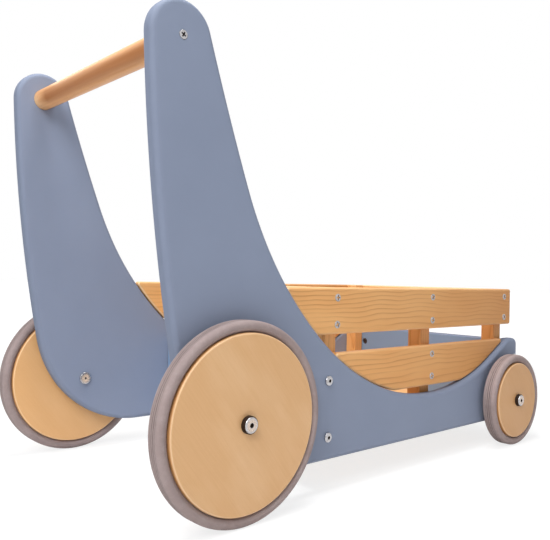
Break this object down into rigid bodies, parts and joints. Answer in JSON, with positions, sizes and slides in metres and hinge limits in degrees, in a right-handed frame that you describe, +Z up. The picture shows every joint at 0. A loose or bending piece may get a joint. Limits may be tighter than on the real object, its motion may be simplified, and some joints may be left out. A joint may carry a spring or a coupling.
{
  "type": "baby push walker",
  "caption": "Wooden baby push walker with swept painted side panels, a dowel handle, a slatted toy crate between them and free-rolling rubber-tyred wheels.",
  "frame": {"origin": "on the ground, under the middle of the overall length and width", "axes": "+X forwards, away from the handle, +Y to the walker's left, +Z up"},
  "size_m": [0.6474, 0.3802, 0.4683],
  "materials": {
    "blue_grey_paint": "satin slate blue-grey paint on board",
    "pine": "clear oiled pine with visible grain",
    "beech_dowel": "clear lacquered round dowel",
    "birch_plywood": "clear lacquered plywood",
    "grey_rubber": "matt warm grey",
    "black_nylon": "matt black",
    "nickel_steel": "bright nickel plate"
  },
  "bodies": {
    "walker_frame": {"handle_bar": "beech_dowel", "front_board": "blue_grey_paint", "rear_board": "blue_grey_paint", "floor_board": "birch_plywood", "front_top_slat": "pine", "rear_top_slat": "pine", "left_side_panel": "blue_grey_paint", "left_handle_screw": "nickel_steel", "left_top_slat": "pine", "left_lower_slat": "pine", "rear_left_post": "pine", "middle_left_post": "pine", "front_left_post": "pine", "rear_left_upper_bolt": "nickel_steel", "rear_left_upper_barrel_nut": "nickel_steel", "rear_left_lower_bolt": "nickel_steel", "rear_left_lower_barrel_nut": "nickel_steel", "rear_left_axle_sleeve": "nickel_steel", "rear_left_axle_bolt": "nickel_steel", "rear_left_spacer": "black_nylon", "front_left_upper_bolt": "nickel_steel", "front_left_upper_barrel_nut": "nickel_steel", "front_left_lower_bolt": "nickel_steel", "front_left_lower_barrel_nut": "nickel_steel", "front_left_axle_sleeve": "nickel_steel", "front_left_axle_bolt": "nickel_steel", "front_left_spacer": "black_nylon", "right_side_panel": "blue_grey_paint", "right_handle_screw": "nickel_steel", "right_top_slat": "pine", "right_lower_slat": "pine", "rear_right_post": "pine", "middle_right_post": "pine", "front_right_post": "pine", "rear_right_upper_bolt": "nickel_steel", "rear_right_upper_barrel_nut": "nickel_steel", "rear_right_lower_bolt": "nickel_steel", "rear_right_lower_barrel_nut": "nickel_steel", "rear_right_axle_sleeve": "nickel_steel", "rear_right_axle_bolt": "nickel_steel", "rear_right_spacer": "black_nylon", "front_right_upper_bolt": "nickel_steel", "front_right_upper_barrel_nut": "nickel_steel", "front_right_lower_bolt": "nickel_steel", "front_right_lower_barrel_nut": "nickel_steel", "front_right_axle_sleeve": "nickel_steel", "front_right_axle_bolt": "nickel_steel", "front_right_spacer": "black_nylon"},
    "rear_left_wheel": {"rear_left_wheel_disc": "birch_plywood", "rear_left_tyre": "grey_rubber", "rear_left_hub_bush": "black_nylon"},
    "rear_right_wheel": {"rear_right_wheel_disc": "birch_plywood", "rear_right_tyre": "grey_rubber", "rear_right_hub_bush": "black_nylon"},
    "front_left_wheel": {"front_left_wheel_disc": "birch_plywood", "front_left_tyre": "grey_rubber", "front_left_hub_bush": "black_nylon"},
    "front_right_wheel": {"front_right_wheel_disc": "birch_plywood", "front_right_tyre": "grey_rubber", "front_right_hub_bush": "black_nylon"}
  },
  "joints": [
    {"name": "rear_left_wheel_spin", "type": "hinge", "parent": "walker_frame", "child": "rear_left_wheel", "pos_m": [-0.22975, 0.1735, 0.0935], "axis": [0, 1, 0], "continuous": true},
    {"name": "rear_right_wheel_spin", "type": "hinge", "parent": "walker_frame", "child": "rear_right_wheel", "pos_m": [-0.22975, -0.1735, 0.0935], "axis": [0, 1, 0], "continuous": true},
    {"name": "front_left_wheel_spin", "type": "hinge", "parent": "walker_frame", "child": "front_left_wheel", "pos_m": [0.26075, 0.1735, 0.0625], "axis": [0, 1, 0], "continuous": true},
    {"name": "front_right_wheel_spin", "type": "hinge", "parent": "walker_frame", "child": "front_right_wheel", "pos_m": [0.26075, -0.1735, 0.0625], "axis": [0, 1, 0], "continuous": true}
  ]
}
